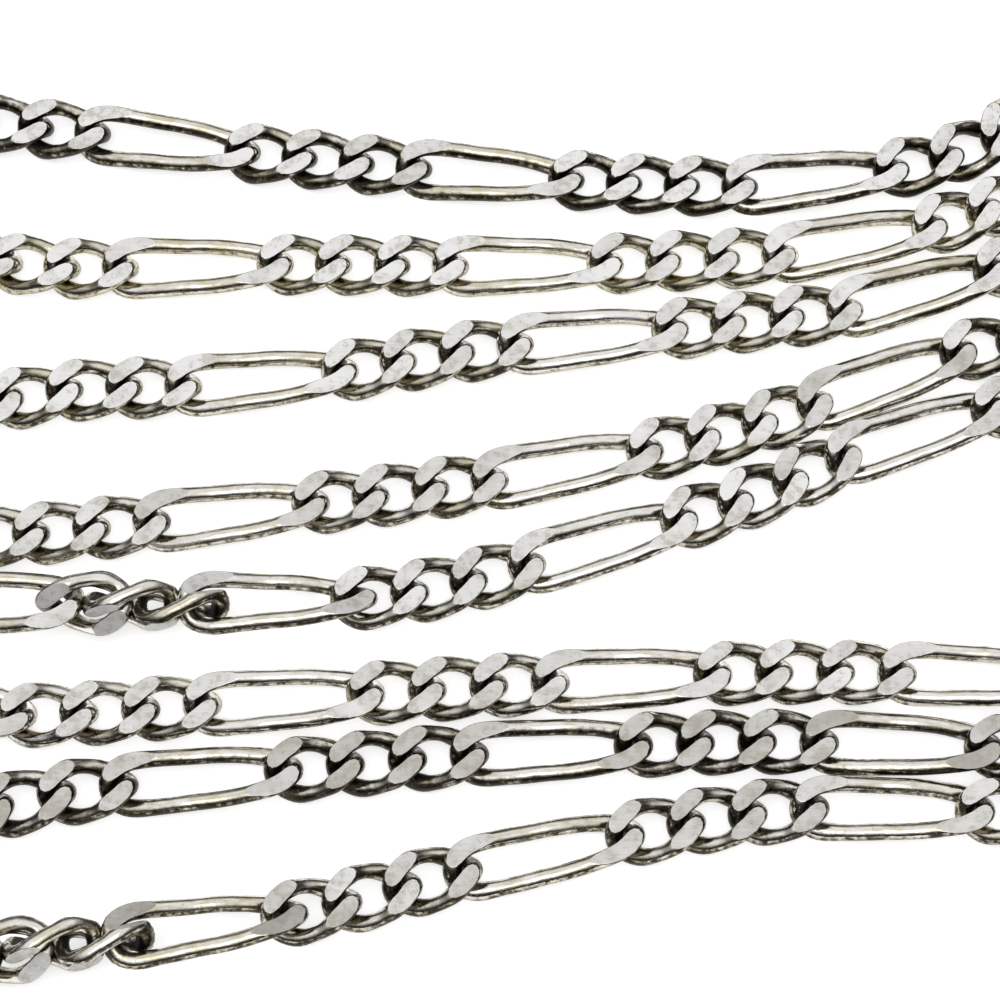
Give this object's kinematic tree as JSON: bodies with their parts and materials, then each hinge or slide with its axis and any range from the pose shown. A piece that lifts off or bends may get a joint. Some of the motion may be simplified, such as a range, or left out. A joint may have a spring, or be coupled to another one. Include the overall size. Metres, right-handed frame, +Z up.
{
  "type": "figaro chain",
  "caption": "Tarnished silver figaro neck chain of twisted, ground round-wire links, fastened with a ring clasp and laid flat in loose parallel passes.",
  "frame": {"origin": "middle of the bounding box, on the surface that the chain lies on", "axes": "+X along the passes to the picture's right, +Y away from the viewer, +Z up from the surface"},
  "size_m": [0.1036, 0.0642, 0.0034],
  "materials": {
    "short_links": "ground and worn silver with dark tarnish in the recesses",
    "long_links": "ground and worn silver with dark tarnish in the recesses",
    "clasp": "plain silver wire, lightly tarnished",
    "jump_rings": "plain silver wire, lightly tarnished",
    "turns": "stands for the same links as the passes"
  },
  "bodies": {
    "root": {"short_links": "short_links", "long_links": "long_links", "clasp": "clasp", "clasp_jump_ring": "jump_rings", "end_jump_ring": "jump_rings", "turn_1": "turns", "turn_2": "turns", "turn_3": "turns", "turn_4": "turns", "turn_5": "turns", "turn_6": "turns", "turn_7": "turns", "turn_8": "turns", "turn_9": "turns"}
  },
  "joints": []
}
